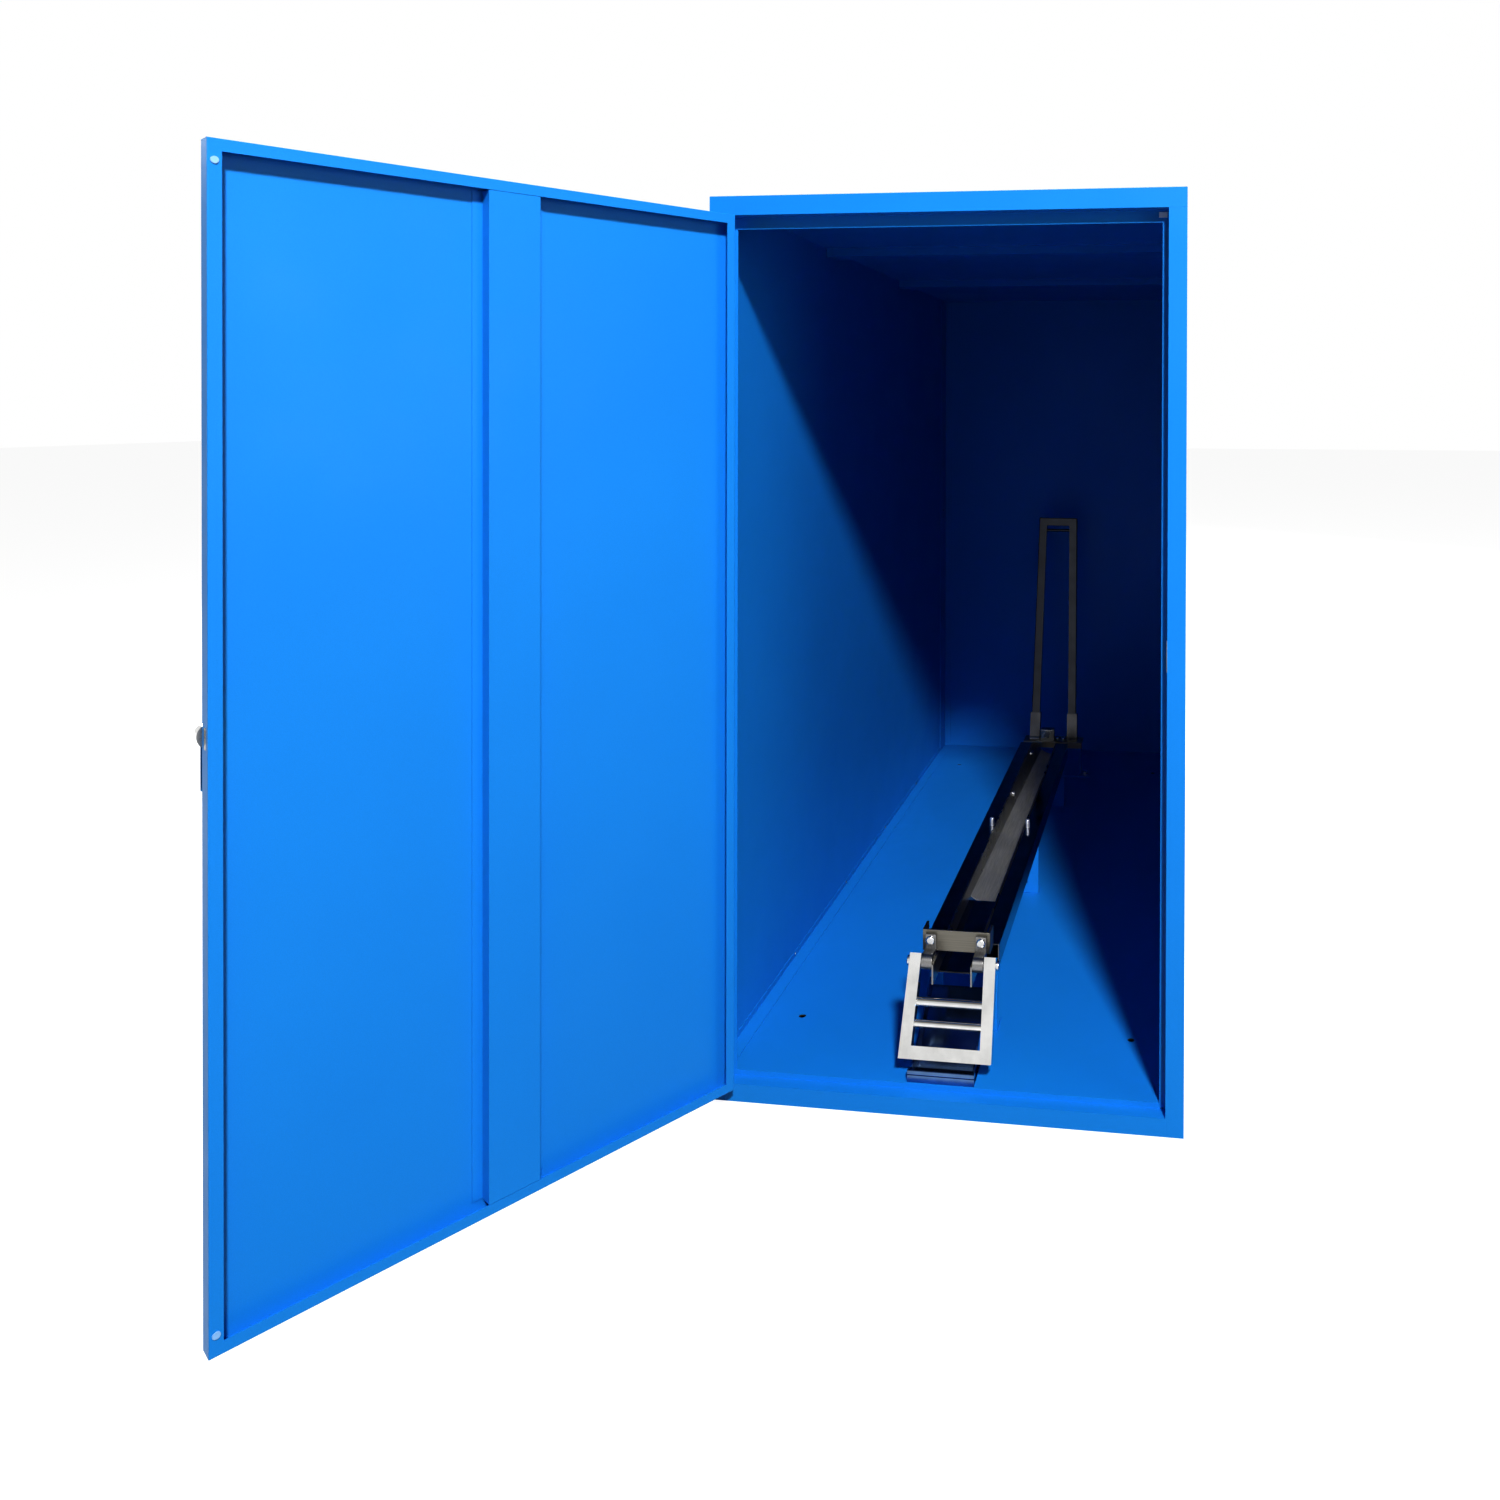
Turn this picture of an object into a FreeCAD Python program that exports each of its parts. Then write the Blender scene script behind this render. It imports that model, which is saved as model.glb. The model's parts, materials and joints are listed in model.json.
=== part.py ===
"""Bicycle locker: a sheet-steel cabinet with one door, holding a pull-out bicycle rail.

Millimetres. The model is drawn from the cabinet's front plane (y = 0) backwards, and is moved
forward by half its depth on export, so that the origin is the middle of the base on the ground.
+X is to the right seen from the front, +Y into the cabinet, +Z up.
"""
import FreeCAD
import Part
import math
import os

V = FreeCAD.Vector
X_AXIS = V(1, 0, 0)
Y_AXIS = V(0, 1, 0)
Z_AXIS = V(0, 0, 1)

# ---- driving dimensions: cabinet ------------------------------------------------------------
cabinet_width = 784.0
cabinet_height = 1500.0
cabinet_depth = 1912.0
sheet = 1.5                  # body sheet
seam = 0.2                   # gap between the roof cap's flange and the side panels
cap_drop = 32.0              # height of the roof cap's flange
jamb_face = 29.0             # front face of each jamb
sill_height = 29.0
floor_level = 38.0           # top of the floor pan
rabbet_play = 2.0            # from the closed door's inner face to its stops
side_stop = 10.0             # stop flange of each jamb
header_stop = 20.0           # stop flange of the header
floor_angle_width = 25.0
floor_angle_rise = 12.0
rear_angle_side = 76.0
rear_angle_back = 20.0
runner_width = 60.0
runner_offset = 300.0        # from the middle to each outer floor runner
roof_bow_width = 60.0
roof_bow_drop = 18.0
roof_bow_lip = 15.0
roof_bows_at = (620.0, 1270.0)
rivet_pitch = 356.0
rivet_first = 66.0
rivet_radius = 3.5
anchor_hole = 6.5            # radius of the holes for M12 floor anchors
anchor_from_end = 206.0      # from the front and the back plane to the anchors

# ---- driving dimensions: door ---------------------------------------------------------------
door_thickness = 24.0
door_gap = 3.0
door_flange = 15.0
door_open_angle = 124.0
stiffener_face = 72.0
stiffener_lip = 14.0
buffer_radius = 4.5
buffer_inset = 26.0          # from the door's top and bottom edges
hinge_heights = (190.0, 750.0, 1310.0)
hinge_length = 90.0
hinge_end_knuckle = 28.0
knuckle_radius = 3.9
knuckle_gap = 0.3
leaf_thickness = 1.25
pin_radius = 2.5
running_clearance = 0.05
hinge_proud = 4.2            # the pin stands this far in front of the front plane

# ---- driving dimensions: lock ---------------------------------------------------------------
lock_height = 760.0
lock_case_width = 14.0
lock_case_tall = 90.0
lock_case_wall = 1.5
bolt_thick = 8.0
bolt_tall = 26.0
bolt_clearance = 0.4
strike_tall = 50.0
strike_thick = 0.9
spindle_radius = 5.0
grip_length = 70.0
grip_width = 13.0
grip_thick = 9.0
grip_standoff = 16.0
escutcheon_radius = 17.0
escutcheon_thick = 3.0

# ---- driving dimensions: bicycle rail -------------------------------------------------------
rail_front = 190.0           # front end of the fixed guide rails
rail_top = 200.0             # their top face
rail_end_gap = 492.0         # from the rails' back ends to the back plane
rail_outer_width = 134.0
rail_section_width = 31.0
rail_section_tall = 40.0
rail_wall = 2.5
roller_play = 0.3            # between a roller and each flange of its rail
roller_width = 12.0
axle_radius = 5.0
rollers_from_end = (380.0, 40.0)
roller_names = ("front", "rear")
bar_thick = 3.0
bar_gap = 1.0                # between a slide bar and the rail's flange tips
bar_tall = 34.0
bar_proud = 2.0              # the bars stand this far above the rails
bar_below = 20.0             # the bars reach this far below the tray's edges
tray_start = 260.0
tray_slope = 2.4             # degrees down towards the back
tray_drop = 28.0             # from the rails' top to the tray's edges at its front
tray_rim = 15.0              # height of the bars over the tray's edges at its back end
tray_depth = 12.0
tray_wall = 2.0
tie_width = 30.0
tie_thick = 3.0
tie_gap = 0.5
tie_shares = (0.03, 0.36, 0.68, 0.96)      # of the tray's length
plate_inset = 15.0           # the cross plate is this much narrower than the rails
plate_return = 34.0          # side flanges of the cross plate, towards the rails
plate_tall = 36.0
plate_rise = 7.0             # underside of the cross plate above the rails
plate_thick = 4.0
plate_back = 50.0            # back face of the cross plate, in front of the rails' ends
bracket_eye_radius = 13.0
bracket_tab_tall = 31.0
bracket_tab_thick = 7.0
plate_bolt_radius = 8.0
plate_bolt_rise = 21.0       # over the cross plate's underside
handle_overhang = 15.0       # the handle's pivot end is this much wider than the rails
handle_flare = 8.0           # and its grip end is wider still
handle_length = 160.0
handle_tube = 20.0
tube_wall = 2.0
handle_lean = 26.0           # the handle hangs with its grip bar this far forward
handle_end = 12.0            # from the pivot to the legs' ends
handle_pivot_ahead = 82.0    # in front of the rails' ends
handle_pivot_rise = 1.5      # above the rails
handle_side_play = 1.0
rungs_at = (62.0, 95.0)      # from the pivot along the legs
rung_radii = (7.5, 6.5)
stud_share = 0.465           # of the rails' length
stud_radius = 5.0
stud_tall = 18.0
trestle_shares = (0.01, 0.49, 0.96)
trestle_thick = 4.0
trestle_foot = 44.0
trestle_inset = 5.0          # in from the rails' outer faces
trestle_bar = 22.0
floor_bolt_spacing = 80.0

# ---- driving dimensions: wheel hoop ---------------------------------------------------------
hoop_from_back = 252.0       # from the hoop's foot to the back plane
hoop_base = 125.0            # height of the hoop's foot
hoop_lean = 10.7             # degrees back from upright
hoop_height = 690.0
hoop_overhang = 4.0          # the hoop's foot is this much wider than the rails
hoop_taper = 20.0            # and its top is this much narrower than its foot
hoop_tube = 24.0
hoop_rod_radius = 4.0
hoop_rod_below = 38.0        # from the hoop's top to its cross rod
hoop_plate_long = 60.0
hoop_plate_overhang = 19.0   # beyond the hoop on each side
hoop_plate_thick = 4.0
hoop_plate_tall = 18.0       # with its front flange
hoop_stand_toe = 22.0        # the stand's foot reaches this far beyond the plate
socket_wall = 3.0
socket_tall = 95.0
stop_block = (40.0, 26.0, 32.0)
stop_gap = 4.0               # from the left socket to the wheel stop
hoop_bolts_at = (13.0, 30.0)

# ---- driving dimensions: front foot ---------------------------------------------------------
foot_front = 28.0
foot_offset = -5.0           # the foot and its brace stand this far off the middle
foot_plate_tall = 12.0
foot_bar = (12.0, 8.0)       # depth and height of the foot's bar
foot_sole = 66.0
foot_bolt_at = 54.0
brace_start = (36.0, 47.0)   # y and z of the brace's lower end, top edge
brace_end = (186.0, 136.0)
brace_flange = 18.0
brace_wall = 3.0
brace_spread = 18.0          # from a slide bar to the brace's outer face
bolt_head_radius = 8.0
bolt_head_tall = 6.0
bolt_shank_radius = 4.0

# ---- derived sizes --------------------------------------------------------------------------
panel_outer = cabinet_width / 2 - sheet - seam
panel_inner = panel_outer - sheet
opening_half = cabinet_width / 2 - jamb_face
opening_top = cabinet_height - cap_drop
rabbet = door_thickness + rabbet_play
door_half = opening_half - door_gap
door_bottom = sill_height + door_gap
door_top = opening_top - door_gap
hinge_x = -(opening_half - door_gap / 2)
hinge_point = V(hinge_x, -hinge_proud, 0)
lock_x = door_half - sheet - lock_case_width / 2
floor_under = floor_level - sheet
axle_depth = rail_section_tall / 2
roller_radius = axle_depth - rail_wall - roller_play
rail_inner = rail_outer_width / 2 - rail_section_width
bar_outer = rail_inner - bar_gap
bar_inner = bar_outer - bar_thick
rail_length = cabinet_depth - rail_end_gap - rail_front
rollers_at = [rail_length - distance for distance in rollers_from_end]
trestles_at = [share * rail_length for share in trestle_shares]
hoop_y = cabinet_depth - hoop_from_back
hoop_foot = hoop_base + hoop_plate_tall
hoop_width_bottom = rail_outer_width + hoop_overhang
hoop_width_top = hoop_width_bottom - hoop_taper
hoop_stand_base = hoop_width_bottom / 2 + hoop_plate_overhang + hoop_stand_toe
stop_left = -hoop_width_bottom / 2 + hoop_tube + socket_wall + stop_gap
tray_end = hoop_y - rail_front - 40
tray_fall = math.tan(math.radians(tray_slope))
plate_width = rail_outer_width - plate_inset
brace_width = 2 * (bar_outer + brace_spread)
foot_width = brace_width + 6
handle_top_width = rail_outer_width + handle_overhang
handle_grip_width = handle_top_width + handle_flare
bracket_width = handle_top_width / 2 - handle_tube - handle_side_play - bar_outer
pivot = V(0, rail_front - handle_pivot_ahead, rail_top + handle_pivot_rise)


# ---- helpers --------------------------------------------------------------------------------
def block(x0, x1, y0, y1, z0, z1):
    """A box between two corners, given in either order."""
    lo = V(min(x0, x1), min(y0, y1), min(z0, z1))
    return Part.makeBox(abs(x1 - x0), abs(y1 - y0), abs(z1 - z0), lo)


def pair(shape):
    """A piece and its mirror image, as one set."""
    return Part.makeCompound([shape, mirrored(shape)])


def mirrored(shape):
    """The same piece on the other side of the cabinet."""
    return shape.mirror(V(0, 0, 0), X_AXIS)


def joined(*shapes):
    """One solid from pieces that share faces."""
    result = shapes[0]
    for shape in shapes[1:]:
        result = result.fuse(shape)
    return result.removeSplitter()


def rod(x, y, z, axis, radius, length):
    return Part.makeCylinder(radius, length, V(x, y, z), axis)


def prism(points, direction):
    """A solid with a straight-sided outline."""
    outline = Part.makePolygon(points + [points[0]])
    return Part.Face(outline).extrude(direction)


def on_door(shape):
    """Turns a piece drawn on the closed door to the open door's place."""
    return shape.copy().rotate(hinge_point, Z_AXIS, -door_open_angle)


def on_rail(shape):
    """Places a piece drawn along the rail: y from the rails' front ends, z from their top."""
    return shape.copy().translate(V(0, rail_front, rail_top))


def save(name, shape):
    moved = shape.copy()
    moved.translate(V(0, -cabinet_depth / 2, 0))
    solids = moved.Solids
    assert moved.isValid() and solids, name
    result = solids[0] if len(solids) == 1 else Part.makeCompound(solids)
    result.exportStep(os.path.join("parts", name + ".step"))
    print(f"{name:26s} {len(solids):3d} solid(s) {moved.Volume / 1000:10.2f} cm3")


def rivet(x, y, z, towards):
    """A low domed rivet head on a wall, its dome towards the given direction."""
    head = rod(x, y, z, towards, rivet_radius, 1.2)
    edges = [e for e in head.Edges if e.CenterOfMass.sub(V(x, y, z)).dot(towards) > 1.1]
    return head.makeFillet(1.0, edges[:1])


def hex_bolt(x, y, z, up, shank):
    """A hexagon-headed bolt: the head's underside at the point, its shank going the other way."""
    corner = bolt_head_radius / math.cos(math.pi / 6)
    ring = []
    for k in range(6):
        angle = math.pi / 3 * k
        ring.append(V(corner * math.cos(angle), corner * math.sin(angle), 0))
    bolt = joined(prism(ring, V(0, 0, bolt_head_tall)), rod(0, 0, -shank, Z_AXIS, bolt_shank_radius, shank))
    bolt.Placement = FreeCAD.Placement(V(x, y, z), FreeCAD.Rotation(Z_AXIS, up))
    return bolt


def u_tube(open_width, closed_width, length, side, wall):
    """A square tube bent to a U in the XZ plane: open ends at z = 0, closed end up at length."""
    def outline(inset, start):
        slant = (open_width - closed_width) / 2 / length
        low = open_width / 2 - inset - slant * start
        high = closed_width / 2 - inset + slant * inset
        return [V(-low, 0, start), V(-high, 0, length - inset),
                V(high, 0, length - inset), V(low, 0, start)]

    def frame(outer, inner, depth, start):
        shape = prism(outline(outer, start), V(0, depth, 0))
        shape = shape.cut(prism(outline(inner, start), V(0, depth, 0)))
        return shape.translate(V(0, -depth / 2, 0))

    tube = frame(0, side, side, 0)
    hollow = frame(wall, side - wall, side - 2 * wall, -1)
    return tube.cut(hollow)


# ---- cabinet --------------------------------------------------------------------------------
def side_panel():
    """The left wall, a flat sheet."""
    back = cabinet_depth - sheet - seam
    return block(-panel_outer, -panel_inner, sheet, back, 0, cabinet_height - sheet)


def back_panel():
    back = cabinet_depth - sheet - seam
    return block(-panel_inner, panel_inner, back - sheet, back, 0, cabinet_height - sheet)


def roof_cap():
    """A shallow tray upside down over the walls."""
    half = cabinet_width / 2
    outer = block(-half, half, 0, cabinet_depth, cabinet_height - cap_drop, cabinet_height)
    hollow = block(-half + sheet, half - sheet, sheet, cabinet_depth - sheet,
                   cabinet_height - cap_drop, cabinet_height - sheet)
    return outer.cut(hollow)


def left_jamb():
    """Front post: face, return past the door's edge, and the stop flange behind the door."""
    top = opening_top
    face = block(-cabinet_width / 2, -opening_half, 0, sheet, 0, top)
    back = block(-opening_half - sheet, -opening_half, 0, rabbet + sheet, 0, top)
    stop = block(-opening_half - sheet, -opening_half + side_stop, rabbet, rabbet + sheet,
                 floor_level, opening_top - header_stop)
    wrap = block(-cabinet_width / 2, -panel_outer, 0, rabbet, 0, top)
    return joined(face, back, stop, wrap)


def right_jamb():
    """The mirrored post, with the slot that takes the lock's bolt."""
    slot = block(opening_half - 1, opening_half + sheet + 1,
                 door_thickness / 2 - bolt_thick / 2 - bolt_clearance,
                 door_thickness / 2 + bolt_thick / 2 + bolt_clearance,
                 lock_height - bolt_tall / 2 - bolt_clearance,
                 lock_height + bolt_tall / 2 + bolt_clearance)
    return mirrored(left_jamb()).cut(slot)


def header_rail():
    """Closes the top of the door's rabbet and carries the top stop flange."""
    inside = panel_inner
    web = block(-inside, inside, sheet, rabbet + sheet, opening_top, opening_top + sheet)
    front = block(-inside, inside, sheet, 2 * sheet, opening_top, cabinet_height - 2 * sheet)
    stop = block(-opening_half, opening_half, rabbet, rabbet + sheet,
                 opening_top - header_stop, opening_top)
    return joined(web, front, stop)


def sill():
    """Front kick, its top flange under the door, and the lip up to the floor."""
    half = opening_half
    face = block(-half, half, 0, sheet, 0, sill_height)
    top = block(-half, half, 0, rabbet + sheet, sill_height - sheet, sill_height)
    lip = block(-half, half, rabbet, rabbet + sheet, sill_height, floor_level)
    return joined(face, top, lip)


def floor_pan():
    half = panel_inner
    back = cabinet_depth - 2 * sheet - seam
    front = rabbet + sheet
    pan = block(-half, half, front, back, floor_under, floor_level)
    tail = block(-half, half, back - sheet, back, floor_under - 22, floor_under)
    side_notch = opening_half + sheet
    notches = [block(s * side_notch, s * (half + 1), front - 1, front + sheet, floor_under - 1,
                     floor_level + 1) for s in (-1, 1)]
    pan = joined(pan, tail)
    for notch in notches:
        pan = pan.cut(notch)
    for x in (-runner_offset, runner_offset):
        for y in (anchor_from_end, cabinet_depth - anchor_from_end):
            pan = pan.cut(rod(x, y, floor_under - 1, Z_AXIS, anchor_hole, sheet + 2))
    return pan


def floor_runner(x, anchored):
    """A channel under the floor pan, on the ground, open to one side."""
    half = runner_width / 2
    front = rabbet + 4 * sheet
    back = cabinet_depth - 4 * sheet
    wall = 2.0
    foot = block(x - half, x + half, front, back, 0, wall)
    web = block(x - half, x - half + wall, front, back, 0, floor_under)
    top = block(x - half, x + half, front, back, floor_under - wall, floor_under)
    runner = joined(foot, web, top)
    if anchored:
        for y in (anchor_from_end, cabinet_depth - anchor_from_end):
            runner = runner.cut(rod(x, y, -1, Z_AXIS, anchor_hole, floor_level + 2))
    return runner


def floor_angle():
    """The angle along the foot of the left wall."""
    x0 = -panel_inner
    front = rabbet + 3 * sheet
    back = cabinet_depth - 3 * sheet - rear_angle_side
    flat = block(x0, x0 + floor_angle_width, front, back, floor_level, floor_level + sheet)
    rise = block(x0, x0 + sheet, front, back, floor_level, floor_level + floor_angle_rise)
    return joined(flat, rise)


def rear_angle():
    """The upright angle in the left rear corner."""
    x0 = -panel_inner
    back = cabinet_depth - 2 * sheet - seam
    top = cabinet_height - 3 * sheet
    along_side = block(x0, x0 + sheet, back - rear_angle_side, back, floor_level, top)
    along_back = block(x0, x0 + rear_angle_back, back - sheet, back, floor_level, top)
    return joined(along_side, along_back)


def roof_bow(y):
    """A hat-section stiffener across the underside of the roof."""
    half = panel_inner - 1
    top = cabinet_height - sheet
    low = top - roof_bow_drop
    face = block(-half, half, y, y + roof_bow_width, low, low + sheet)
    front = block(-half, half, y, y + sheet, low, top)
    rear = block(-half, half, y + roof_bow_width - sheet, y + roof_bow_width, low, top)
    front_lip = block(-half, half, y - roof_bow_lip, y + sheet, top - sheet, top)
    rear_lip = block(-half, half, y + roof_bow_width - sheet, y + roof_bow_width + roof_bow_lip,
                     top - sheet, top)
    return joined(face, front, rear, front_lip, rear_lip)


def panel_rivets():
    """Rows of rivets that hold the floor angles and the rear angles to the walls."""
    heads = []
    wall = panel_inner - sheet
    low = floor_level + floor_angle_rise / 2 + sheet / 2
    y = rivet_first
    while y < cabinet_depth - rear_angle_side - rivet_first:
        for side in (-1, 1):
            heads.append(rivet(side * wall, y, low, V(-side, 0, 0)))
        y += rivet_pitch
    rear = cabinet_depth - 2 * sheet - seam - rear_angle_side / 2
    z = floor_level + rivet_first
    while z < cabinet_height - rivet_first:
        for side in (-1, 1):
            heads.append(rivet(side * wall, rear, z, V(-side, 0, 0)))
        z += rivet_pitch
    return Part.makeCompound(heads)


def header_buffer():
    """A nylon pad on the header's stop flange, above the latch corner."""
    pad = block(opening_half - 16, opening_half - 2, rabbet - rabbet_play + 0.3, rabbet,
                opening_top - 12, opening_top - 3)
    edges = [e for e in pad.Edges if abs(e.CenterOfMass.y - (rabbet - rabbet_play + 0.3)) < 0.01]
    return pad.makeChamfer(0.6, edges)


def strike_plate():
    """A slotted wear plate round the bolt's slot in the right jamb."""
    middle = door_thickness / 2
    plate = block(opening_half - strike_thick, opening_half, middle - 9, middle + 9,
                  lock_height - strike_tall / 2, lock_height + strike_tall / 2)
    slot = block(opening_half - 5, opening_half + 5,
                 middle - bolt_thick / 2 - bolt_clearance, middle + bolt_thick / 2 + bolt_clearance,
                 lock_height - bolt_tall / 2 - bolt_clearance,
                 lock_height + bolt_tall / 2 + bolt_clearance)
    return plate.cut(slot)


# ---- hinges ---------------------------------------------------------------------------------
def hinge_knuckle(z0, z1):
    outer = rod(hinge_x, -hinge_proud, z0, Z_AXIS, knuckle_radius, z1 - z0)
    return outer


def hinge_bore(z0, z1):
    return rod(hinge_x, -hinge_proud, z0 - 1, Z_AXIS, pin_radius + running_clearance, z1 - z0 + 2)


def frame_leaf(z_middle):
    """Leaf in the door gap on the left jamb, with the two end knuckles."""
    z0 = z_middle - hinge_length / 2
    z1 = z_middle + hinge_length / 2
    outer = -opening_half
    clear = hinge_proud - math.sqrt(knuckle_radius ** 2 - (door_gap / 2 - leaf_thickness) ** 2)
    leaf = block(outer, outer + leaf_thickness, clear, door_thickness - 2, z0, z1)
    shape = leaf
    for low, high in ((z0, z0 + hinge_end_knuckle), (z1 - hinge_end_knuckle, z1)):
        tie = block(outer, outer + leaf_thickness, -hinge_proud, 1, low, high)
        shape = joined(shape, tie, hinge_knuckle(low, high))
    return shape.cut(hinge_bore(z0, z1))


def door_leaf(z_middle):
    """Leaf on the door's edge, with the middle knuckle; drawn on the closed door."""
    low = z_middle - hinge_length / 2 + hinge_end_knuckle + knuckle_gap
    high = z_middle + hinge_length / 2 - hinge_end_knuckle - knuckle_gap
    outer = -door_half
    leaf = block(outer - leaf_thickness, outer, 0.6, door_thickness - 2,
                 z_middle - hinge_length / 2, z_middle + hinge_length / 2)
    tie = block(outer - leaf_thickness, outer, -hinge_proud, 1, low, high)
    shape = joined(leaf, tie, hinge_knuckle(low, high))
    return shape.cut(hinge_bore(low, high))


def hinge_pin(z_middle):
    z0 = z_middle - hinge_length / 2
    shank = rod(hinge_x, -hinge_proud, z0 - 0.2, Z_AXIS, pin_radius, hinge_length + 0.4)
    head = rod(hinge_x, -hinge_proud, z0 + hinge_length + 0.2, Z_AXIS, knuckle_radius, 2)
    tail = rod(hinge_x, -hinge_proud, z0 - 2.2, Z_AXIS, knuckle_radius, 2)
    return joined(shank, head, tail)


# ---- door, drawn closed ---------------------------------------------------------------------
def door_panel():
    """A tray: outer skin, four edges, and return flanges round the inner face."""
    half = door_half
    outer = block(-half, half, 0, door_thickness, door_bottom, door_top)
    hollow = block(-half + sheet, half - sheet, sheet, door_thickness - sheet,
                   door_bottom + sheet, door_top - sheet)
    window = block(-half + door_flange, half - door_flange, door_thickness - 2 * sheet,
                   door_thickness + 1, door_bottom + door_flange, door_top - door_flange)
    bolt_hole = block(half - 2 * sheet, half + 1,
                      door_thickness / 2 - bolt_thick / 2 - bolt_clearance,
                      door_thickness / 2 + bolt_thick / 2 + bolt_clearance,
                      lock_height - bolt_tall / 2 - bolt_clearance,
                      lock_height + bolt_tall / 2 + bolt_clearance)
    spindle_hole = rod(lock_x, -1, lock_height, Y_AXIS, spindle_radius + 0.5, sheet + 2)
    return outer.cut(hollow).cut(window).cut(bolt_hole).cut(spindle_hole)


def door_stiffener():
    """A hat section up the middle of the door, its face flush with the flanges."""
    half = stiffener_face / 2
    z0 = door_bottom + door_flange + 0.5
    z1 = door_top - door_flange - 0.5
    face = block(-half, half, door_thickness - sheet, door_thickness, z0, z1)
    shape = face
    for side in (-1, 1):
        wall = block(side * half, side * (half - sheet), sheet, door_thickness, z0, z1)
        lip = block(side * (half - sheet), side * (half + stiffener_lip), sheet, 2 * sheet, z0, z1)
        shape = joined(shape, wall, lip)
    return shape


def door_buffers():
    """Rubber buffers on the latch-side flange, near the corners."""
    x = door_half - door_flange / 2
    tall = rabbet_play - 0.4
    pads = []
    for z in (door_bottom + buffer_inset, door_top - buffer_inset):
        pad = rod(x, door_thickness, z, Y_AXIS, buffer_radius, tall)
        rim = [e for e in pad.Edges if abs(e.CenterOfMass.y - door_thickness - tall) < 0.01]
        pads.append(pad.makeFillet(0.6, rim[:1]))
    return Part.makeCompound(pads)


# ---- lock, drawn on the closed door ---------------------------------------------------------
def lock_case():
    """A slim case behind the latch-side flange, with the bolt's guide through it."""
    x1 = door_half - sheet
    x0 = x1 - lock_case_width
    z0 = lock_height - lock_case_tall / 2
    z1 = lock_height + lock_case_tall / 2
    outer = block(x0, x1, 2 * sheet, door_thickness - 2 * sheet, z0, z1)
    inner = block(x0 + lock_case_wall, x1 + 1, 2 * sheet + lock_case_wall,
                  door_thickness - 2 * sheet - lock_case_wall, z0 + lock_case_wall,
                  z1 - lock_case_wall)
    hole = rod(lock_x, 0, lock_height, Y_AXIS, spindle_radius + 0.3, door_thickness / 2)
    seat = rod(lock_x, sheet, lock_height, Y_AXIS, lock_case_width / 2, sheet)
    seat = seat.cut(rod(lock_x, 0, lock_height, Y_AXIS, spindle_radius + 0.3, door_thickness / 2))
    return joined(outer.cut(inner).cut(hole), seat)


def lock_bolt():
    """The bolt, drawn back flush with the door's edge."""
    middle = door_thickness / 2
    x1 = door_half
    x0 = x1 - sheet - lock_case_width + lock_case_wall + 0.5
    return block(x0, x1, middle - bolt_thick / 2, middle + bolt_thick / 2,
                 lock_height - bolt_tall / 2, lock_height + bolt_tall / 2)


def lock_escutcheon():
    plate = rod(lock_x - 3, -escutcheon_thick, lock_height, Y_AXIS, escutcheon_radius, escutcheon_thick)
    rim = [e for e in plate.Edges if abs(e.CenterOfMass.y + escutcheon_thick) < 0.01]
    plate = plate.makeFillet(1.5, rim[:1])
    return plate.cut(rod(lock_x, -10, lock_height, Y_AXIS, spindle_radius + 0.5, 20))


def lock_handle():
    """A turning grip with its spindle through the door; the bore is for the key plug."""
    spindle_end = 2 * sheet + lock_case_wall + 1.0
    spindle = rod(lock_x, -grip_standoff, lock_height, Y_AXIS, spindle_radius,
                  grip_standoff + spindle_end)
    hub = rod(lock_x, -grip_standoff - grip_thick, lock_height, Y_AXIS, 11, grip_thick + 6)
    grip = block(lock_x - grip_width / 2, lock_x + grip_width / 2, -grip_standoff - grip_thick,
                 -grip_standoff, lock_height - grip_length, lock_height)
    round_ends = [e for e in grip.Edges if abs(e.CenterOfMass.z - lock_height + grip_length) < 0.01]
    grip = grip.makeFillet(3.5, round_ends)
    bore = rod(lock_x, -grip_standoff - grip_thick - 1, lock_height, Y_AXIS,
               6 + running_clearance, grip_thick + 4)
    return joined(spindle, hub, grip).cut(bore)


def lock_plug():
    """The key plug in the handle's hub, with a plain key slot."""
    front = -grip_standoff - grip_thick
    plug = rod(lock_x, front, lock_height, Y_AXIS, 6, grip_thick + 2)
    slot = block(lock_x - 0.8, lock_x + 0.8, front - 1, front + 7, lock_height - 4, lock_height + 4)
    return plug.cut(slot)


# ---- fixed part of the bicycle rail ---------------------------------------------------------
def guide_rail():
    """The left guide rail: a channel open towards the middle; drawn along the rail."""
    outer = rail_outer_width / 2
    body = block(-outer, -rail_inner, 0, rail_length, -rail_section_tall, 0)
    hollow = block(-outer + rail_wall, -rail_inner + 1, -1, rail_length + 1,
                   -rail_section_tall + rail_wall, -rail_wall)
    return body.cut(hollow)


def trestle(along):
    """A folded stand under both guide rails: two uprights and two feet on the floor."""
    y0 = rail_front + along
    half = rail_outer_width / 2 - trestle_inset
    way = rail_inner + 1
    top = rail_top - rail_section_tall
    plate = block(-half, half, y0, y0 + trestle_thick, floor_level, top)
    plate = plate.cut(block(-way, way, y0 - 1, y0 + 10, floor_level + trestle_bar, top + 1))
    foot = block(-half, half, y0, y0 + trestle_foot, floor_level, floor_level + trestle_thick)
    stand = joined(plate, foot)
    for side in (-1, 1):
        stand = stand.cut(rod(side * floor_bolt_spacing / 2, y0 + 28, floor_level - 1, Z_AXIS,
                              bolt_shank_radius, 20))
    return stand


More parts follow.
